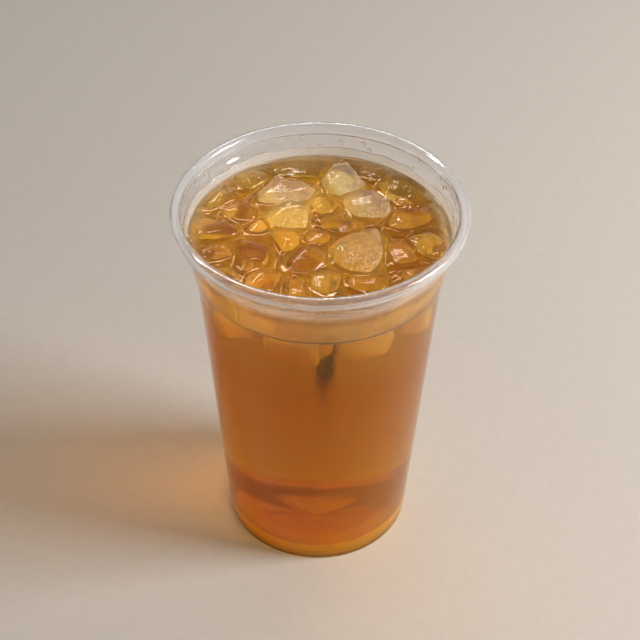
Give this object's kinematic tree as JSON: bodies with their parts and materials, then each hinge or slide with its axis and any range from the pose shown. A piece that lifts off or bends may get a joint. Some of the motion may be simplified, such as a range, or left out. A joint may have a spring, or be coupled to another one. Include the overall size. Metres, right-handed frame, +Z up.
{
  "type": "iced tea in a clear plastic cup",
  "caption": "Clear thin-walled plastic cup with a rolled lip, filled nearly to the lip with amber tea and lumps of floating ice.",
  "frame": {"origin": "centre of the foot, on the surface the cup stands on", "axes": "+Z up along the cup's axis, -Y towards the viewer of the picture, +X to the viewer's right"},
  "size_m": [0.098, 0.098, 0.137],
  "materials": {
    "clear_plastic": "clear, glossy, with a faint milky haze",
    "tea": "clear amber liquid",
    "ice": "wet, clear with cloudy cores"
  },
  "bodies": {
    "root": {"cup": "clear_plastic", "tea": "tea", "ice_01": "ice", "ice_02": "ice", "ice_03": "ice", "ice_04": "ice", "ice_05": "ice", "ice_06": "ice", "ice_07": "ice", "ice_08": "ice", "ice_09": "ice", "ice_10": "ice", "ice_11": "ice", "ice_12": "ice", "ice_13": "ice", "ice_14": "ice", "ice_15": "ice", "ice_16": "ice", "ice_17": "ice", "ice_18": "ice", "ice_19": "ice", "ice_20": "ice", "ice_21": "ice", "ice_22": "ice", "ice_23": "ice", "ice_24": "ice", "ice_25": "ice", "ice_26": "ice", "ice_27": "ice", "ice_28": "ice", "ice_29": "ice", "ice_30": "ice", "ice_31": "ice", "ice_32": "ice"}
  },
  "joints": []
}
